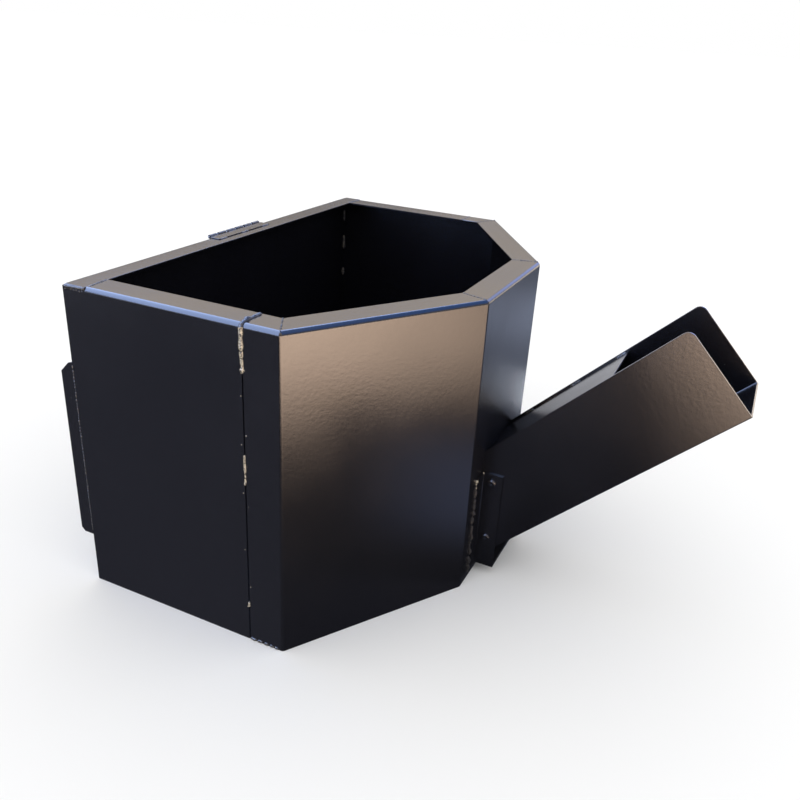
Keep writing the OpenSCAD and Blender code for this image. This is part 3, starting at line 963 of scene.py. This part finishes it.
def make_world():
    """White for the camera, even light for diffuse rays, and a room that only reflections see.

    The room is a set of bands by height. Each mask then paints a region of directions over them.
    """
    world = bpy.data.worlds.new("world")
    scene.world = world
    world.use_nodes = True
    t = Tree(world.node_tree)
    direction = t.node("ShaderNodeTexCoord").outputs["Generated"]
    x, y, z = t.axes(direction)
    bands = t.node("ShaderNodeValToRGB")
    bands.color_ramp.interpolation = "EASE"
    lowered = t.math("SUBTRACT", z, t.ramp(x, -0.25, 0.1, 0, 0.12))
    t.link(t.math("ADD", t.math("MULTIPLY", lowered, 0.5), 0.5), bands.inputs["Fac"])
    stops = [
        (-1.0, (0.03, 0.03, 0.042)),
        (-0.26, (0.03, 0.03, 0.042)),
        (-0.12, (1.05, 1.06, 1.14)),
        (0.06, (0.60, 0.58, 0.60)),
        (0.20, (0.46, 0.42, 0.39)),
        (0.25, (1.22, 1.05, 0.88)),
        (0.33, (1.66, 1.43, 1.22)),
        (1.0, (1.60, 1.40, 1.22)),
    ]
    el = bands.color_ramp.elements
    while len(el) < len(stops):
        el.new(0.5)
    for e, (h, c) in zip(el, stops):
        e.position = 0.5 + 0.5 * h
        e.color = (*c, 1)
    room = bands.outputs["Color"]

    def mask(*edges):
        """Each edge is (axis, start, end, share at the start, share at the end)."""
        return t.product(*(t.ramp(*edge) for edge in edges))

    near_wall = mask((y, -0.6, -0.35, 1, 0), (z, -0.3, -0.2, 1, 0), (x, -0.45, -0.2, 1, 0.3))
    far_left = mask((x, -0.42, -0.34, 1, 0), (z, 0.19, 0.255, 1, 0), (z, 0.0, 0.1, 0, 1))
    behind = mask((x, -0.54, -0.47, 1, 0), (y, 0.3, 0.4, 0, 1), (z, 0.10, 0.15, 1, 0))
    lilac = mask((x, -0.06, -0.01, 0, 1), (x, 0.34, 0.40, 1, 0), (z, 0.03, 0.08, 0, 1),
                 (z, 0.46, 0.52, 1, 0), (y, 0.5, 0.6, 0, 1))
    glow_line = mask((x, 0.22, 0.27, 0, 1), (x, 0.40, 0.46, 1, 0), (y, 0.82, 0.88, 0, 1),
                     (z, -0.17, -0.13, 0, 1), (z, 0.03, 0.08, 1, 0))
    for region, paint in (
        (near_wall, (0.135, 0.14, 0.19)),
        (far_left, (0.15, 0.16, 0.18)),
        (behind, (0.02, 0.03, 0.07)),
        (lilac, (1.5, 1.8, 3.3)),
        (glow_line, (3.2, 2.75, 2.3)),
    ):
        room = t.mix(region, room, paint)

    # A bright sky above a slanting line, left out where only views from the far side reflect it.
    sky = t.mix(t.ramp(x, -0.22, 0.02, 0, 1), (4.0, 5.3, 9.0), (0.35, 0.8, 2.2))
    sky_height = t.math("SUBTRACT", z, t.math("MULTIPLY", y, 0.25))
    sky_height = t.math("ADD", sky_height, t.ramp(y, -0.78, -0.62, 0.16, 0))
    away = mask((y, -0.35, -0.1, 1, 0), (x, -0.12, -0.02, 0, 1))
    sky_share = t.product(t.ramp(sky_height, 0.34, 0.40, 0, 1), t.math("SUBTRACT", 1, away))
    room = t.mix(sky_share, room, sky)
    path = t.node("ShaderNodeLightPath")
    shown = t.mix(path.outputs["Is Glossy Ray"], (1.19, 1.19, 1.19), room)
    shown = t.mix(path.outputs["Is Camera Ray"], shown, (1.0, 1.0, 1.0))
    t.link(shown, t.tree.nodes["Background"].inputs["Color"])


def make_cards():
    """Glows low on the walls, each card just above the last so that none coincide."""
    along_x, along_y = (1, 0, 0), (0, 1, 0)
    off_slant = (0.906, -0.423, 0)  # nearly straight out from the right slanted wall
    glow_card("card_front", [(0.1, -3, 0.001), (4, -3, 0.001), (4, 0.9, 0.001), (0.3, 0.9, 0.001)],
              (1.38, 1.0, 0.74), 7.0,
              [(off_slant, 0.46, 0.85, 0, 1), (along_y, -0.35, 0.10, 1, 0.42)])
    glow_card("card_back", rectangle(0.14, 0.28, 1.2, 1.8, 0.002), (0.88, 1.0, 1.35), 0.42,
              [((-1.33, 1, 0), -0.008, 0.05, 0, 1), (along_y, 0.58, 0.74, 1, 1.5),
               (along_y, 0.86, 1.06, 1, 0.45), (along_x, 0.27, 0.335, 0.62, 1)])
    patch = ((0.19, 0.34), (0.226, 0.375), (0.245, 0.45), (0.248, 0.52), (0.21, 0.50), (0.17, 0.40))
    glow_card("card_patch", [(*p, 0.003) for p in patch], (0.95, 1.0, 1.12), 3.0)
    glow_card("card_low", rectangle(0.16, -0.24, 0.6, 0.1, 0.004), (0.48, 0.6, 1.05), 0.52,
              [(along_x, 0.19, 0.31, 0, 1), (along_x, 0.40, 0.55, 1, 0),
               (along_y, -0.22, -0.06, 0, 1)])


make_camera()
make_floor()
make_world()
make_cards()
make_key_light()
scene.view_settings.view_transform = "Standard"
scene.view_settings.look = "None"
